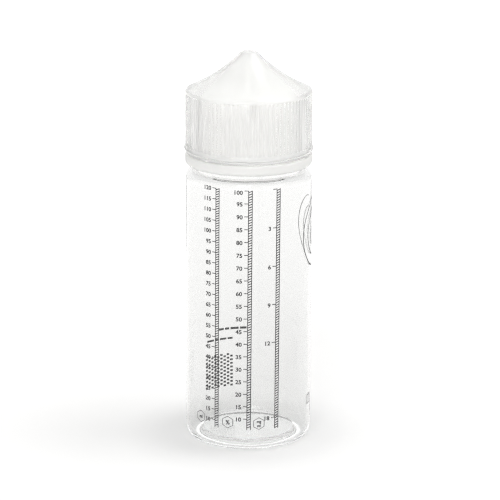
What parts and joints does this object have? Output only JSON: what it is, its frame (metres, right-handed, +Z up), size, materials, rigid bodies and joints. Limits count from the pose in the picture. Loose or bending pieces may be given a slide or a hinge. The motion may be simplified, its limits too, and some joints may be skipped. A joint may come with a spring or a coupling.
{
  "type": "e-liquid bottle",
  "caption": "Slim clear bottle with printed measuring scales, thin-spout dropper tip, tamper ring and a pointed, ribbed child-resistant cap that turns freely and lifts off.",
  "frame": {"origin": "middle of the bottle's foot, on the surface it stands on", "axes": "+Z up along the bottle's axis, -Y towards the printed scales, +X to their right"},
  "size_m": [0.044, 0.044, 0.1354],
  "materials": {
    "clear_bottle": "clear blown plastic, smooth and glossy",
    "milky_ring": "translucent milky moulded plastic, satin",
    "milky_tip": "soft translucent milky plastic, satin",
    "milky_cap": "translucent milky moulded plastic, satin",
    "clear_cap": "nearly clear moulded plastic, glossy, faintly milky",
    "print_ink": "thin dark grey screen print"
  },
  "bodies": {
    "bottle_body": {"bottle": "clear_bottle", "tamper_ring": "milky_ring", "dropper_tip": "milky_tip", "volume_scale": "print_ink", "percent_scale": "print_ink", "strength_scale": "print_ink", "volume_badge": "print_ink", "percent_badge": "print_ink", "strength_badge": "print_ink"},
    "inner_cap_body": {"inner_cap": "milky_cap"},
    "outer_cap_body": {"outer_cap": "clear_cap"}
  },
  "joints": [
    {"name": "cap_lift", "type": "slide", "parent": "bottle_body", "child": "inner_cap_body", "axis": [0, 0, 1], "range_m": [0, 0.04]},
    {"name": "cap_turn", "type": "hinge", "parent": "inner_cap_body", "child": "outer_cap_body", "pos_m": [0, 0, 0.11], "axis": [0, 0, 1], "continuous": true}
  ]
}
